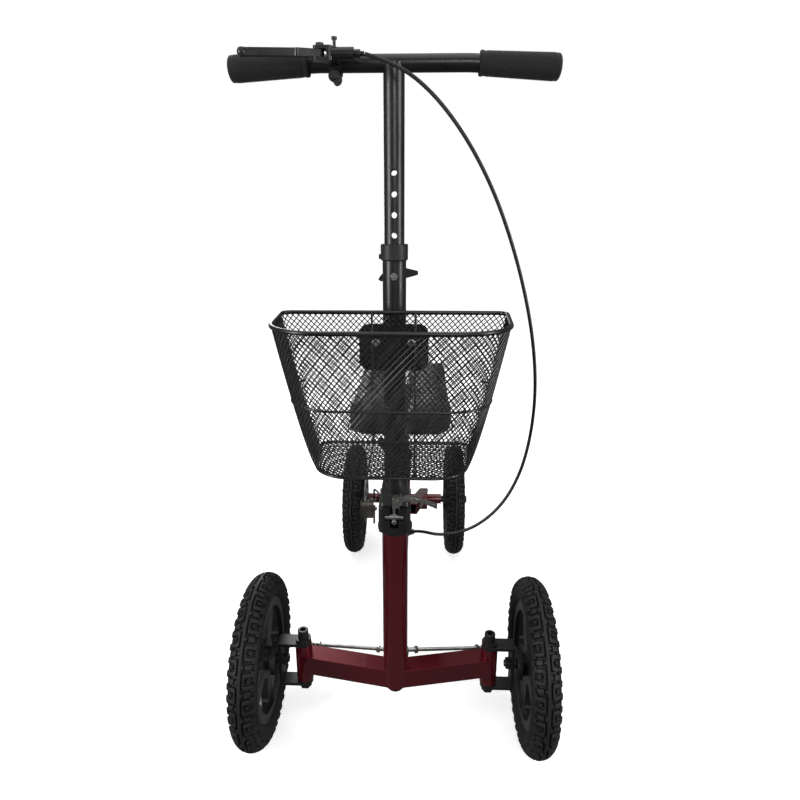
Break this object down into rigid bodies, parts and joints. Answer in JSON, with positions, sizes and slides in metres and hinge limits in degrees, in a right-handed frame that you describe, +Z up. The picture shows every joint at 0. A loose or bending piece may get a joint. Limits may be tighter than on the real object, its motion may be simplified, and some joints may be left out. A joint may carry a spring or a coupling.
{
  "type": "knee scooter",
  "caption": "Steerable knee scooter with pneumatic tyres, folding height-adjustable column, wire basket, knee pad and rear disc brake.",
  "frame": {"origin": "on the floor, under the middle of the scooter's length and width", "axes": "+Z up, -Y forward (the way the scooter drives), +X to the rider's left"},
  "size_m": [0.5676, 1.0384, 1.142],
  "materials": {
    "tyre_rubber": "matte",
    "rim_grey": "satin",
    "frame_red": "gloss",
    "black_paint": "satin",
    "black_hardware": "satin",
    "basket_wire": "satin",
    "zinc_steel": "satin",
    "polished_alloy": "polished",
    "cast_alloy": "satin",
    "black_plastic": "satin",
    "grip_rubber": "matte",
    "cable_black": "satin",
    "pad_vinyl": "satin"
  },
  "bodies": {
    "frame": {"crossbar": "frame_red", "kingpin_bushes": "black_plastic", "kingpin_bolts": "black_hardware", "head_tube": "frame_red", "headset": "black_paint", "spine": "frame_red", "post_socket": "frame_red", "rear_stays": "frame_red", "rear_axle_tube": "frame_red", "rear_axle": "black_hardware", "post_clamp": "black_paint", "brake_caliper": "cast_alloy", "brake_cable": "cable_black", "cable_guides": "black_paint"},
    "steerer": {"steerer": "zinc_steel", "pitman_arm": "black_paint", "pitman_fasteners": "black_hardware", "fold_lower_block": "black_paint", "fold_hinge_pin": "zinc_steel"},
    "latch_bolt": {"swing_bolt": "zinc_steel"},
    "cam_lever": {"cam_lever": "polished_alloy"},
    "column": {"fold_upper_block": "black_paint", "lower_column": "black_paint", "height_collar": "black_plastic", "pin_keeper": "zinc_steel", "basket": "basket_wire", "basket_bracket": "black_paint", "basket_bolts": "zinc_steel"},
    "height_pin": {"height_pin": "black_plastic"},
    "stem": {"upper_stem": "black_paint", "handlebar": "black_paint", "grip_left": "grip_rubber", "grip_right": "grip_rubber", "lever_perch": "black_paint", "perch_hardware": "black_hardware"},
    "brake_lever": {"brake_lever": "black_hardware"},
    "parking_button": {"parking_button": "black_hardware"},
    "knuckle_left": {"knuckle_left": "black_paint", "knuckle_fasteners_left": "black_hardware"},
    "knuckle_right": {"knuckle_right": "black_paint", "knuckle_fasteners_right": "black_hardware"},
    "tie_rod_left": {"tie_rod_left": "zinc_steel"},
    "tie_rod_right": {"tie_rod_right": "zinc_steel"},
    "wheel_front_left": {"tyre_front_left": "tyre_rubber", "rim_front_left": "rim_grey"},
    "wheel_front_right": {"tyre_front_right": "tyre_rubber", "rim_front_right": "rim_grey"},
    "wheel_rear_left": {"tyre_rear_left": "tyre_rubber", "rim_rear_left": "rim_grey"},
    "wheel_rear_right": {"tyre_rear_right": "tyre_rubber", "rim_rear_right": "rim_grey", "brake_disc": "zinc_steel"},
    "knee_rest": {"knee_post": "black_paint", "pad_plate": "black_paint", "pad_cushion_left": "pad_vinyl", "pad_cushion_right": "pad_vinyl"},
    "post_clamp_lever": {"post_clamp_lever": "black_hardware"},
    "caliper_arm": {"caliper_arm": "cast_alloy"}
  },
  "joints": [
    {"name": "steering", "type": "hinge", "parent": "frame", "child": "steerer", "pos_m": [0, -0.32825, 0.155], "axis": [0, 0, 1], "range_deg": [-30, 30], "deforming": ["brake_cable"]},
    {"name": "knuckle_left_pivot", "type": "hinge", "parent": "frame", "child": "knuckle_left", "pos_m": [0.168, -0.29525, 0.151], "axis": [0, 0, 1], "range_deg": [-30, 30]},
    {"name": "knuckle_right_pivot", "type": "hinge", "parent": "frame", "child": "knuckle_right", "pos_m": [-0.168, -0.29525, 0.151], "axis": [0, 0, 1], "range_deg": [-30, 30]},
    {"name": "tie_rod_left_pivot", "type": "hinge", "parent": "steerer", "child": "tie_rod_left", "pos_m": [0.012, -0.24325, 0.135], "axis": [0, 0, 1], "range_deg": [-30, 30]},
    {"name": "tie_rod_right_pivot", "type": "hinge", "parent": "steerer", "child": "tie_rod_right", "pos_m": [-0.012, -0.24325, 0.135], "axis": [0, 0, 1], "range_deg": [-30, 30]},
    {"name": "column_fold", "type": "hinge", "parent": "steerer", "child": "column", "pos_m": [0, -0.29525, 0.495], "axis": [-1, 0, 0], "range_deg": [0, 65], "deforming": ["brake_cable"]},
    {"name": "latch_swing", "type": "hinge", "parent": "steerer", "child": "latch_bolt", "pos_m": [0, -0.35825, 0.48], "axis": [1, 0, 0], "range_deg": [0, 111.5]},
    {"name": "cam_lever_pivot", "type": "hinge", "parent": "latch_bolt", "child": "cam_lever", "pos_m": [0.005, -0.35825, 0.508], "axis": [0, -1, 0], "range_deg": [0, 130]},
    {"name": "height_slide", "type": "slide", "parent": "column", "child": "stem", "axis": [0, 0, 1], "range_m": [-0.138, 0.0552], "deforming": ["brake_cable"]},
    {"name": "height_pin_pull", "type": "slide", "parent": "column", "child": "height_pin", "axis": [0, 1, 0], "range_m": [0, 0.01], "stiffness_N_per_m": 400, "springref_m": -0.005},
    {"name": "brake_lever_pivot", "type": "hinge", "parent": "stem", "child": "brake_lever", "pos_m": [-0.09, -0.37025, 1.123], "axis": [0, 0, -1], "range_deg": [0, 17], "stiffness_Nm_per_rad": 0.5, "springref_deg": -11.46},
    {"name": "parking_button_press", "type": "slide", "parent": "stem", "child": "parking_button", "axis": [0, 0, -1], "range_m": [0, 0.004], "stiffness_N_per_m": 200, "springref_m": -0.002},
    {"name": "wheel_front_left_spin", "type": "hinge", "parent": "knuckle_left", "child": "wheel_front_left", "pos_m": [0.2465, -0.29325, 0.1525], "axis": [1, 0, 0], "continuous": true},
    {"name": "wheel_front_right_spin", "type": "hinge", "parent": "knuckle_right", "child": "wheel_front_right", "pos_m": [-0.2465, -0.29325, 0.1525], "axis": [1, 0, 0], "continuous": true},
    {"name": "wheel_rear_left_spin", "type": "hinge", "parent": "frame", "child": "wheel_rear_left", "pos_m": [0.1395, 0.36675, 0.1525], "axis": [1, 0, 0], "continuous": true},
    {"name": "wheel_rear_right_spin", "type": "hinge", "parent": "frame", "child": "wheel_rear_right", "pos_m": [-0.1395, 0.36675, 0.1525], "axis": [1, 0, 0], "continuous": true},
    {"name": "knee_rest_slide", "type": "slide", "parent": "frame", "child": "knee_rest", "axis": [0, 0, 1], "range_m": [-0.055, 0.075]},
    {"name": "post_clamp_lever_pivot", "type": "hinge", "parent": "frame", "child": "post_clamp_lever", "pos_m": [-0.025, 0.10675, 0.395], "axis": [0, -1, 0], "range_deg": [0, 55]},
    {"name": "caliper_arm_pivot", "type": "hinge", "parent": "frame", "child": "caliper_arm", "pos_m": [-0.085, 0.30075, 0.1525], "axis": [-1, 0, 0], "range_deg": [0, 20]}
  ],
  "couplings": [
    {"joint": "knuckle_left_pivot", "follows": "steering", "ratio": 1},
    {"joint": "knuckle_right_pivot", "follows": "steering", "ratio": 1},
    {"joint": "tie_rod_left_pivot", "follows": "steering", "ratio": -1},
    {"joint": "tie_rod_right_pivot", "follows": "steering", "ratio": -1},
    {"joint": "latch_swing", "follows": "column_fold", "ratio": 1.7},
    {"joint": "caliper_arm_pivot", "follows": "brake_lever_pivot", "ratio": 1.1647}
  ]
}
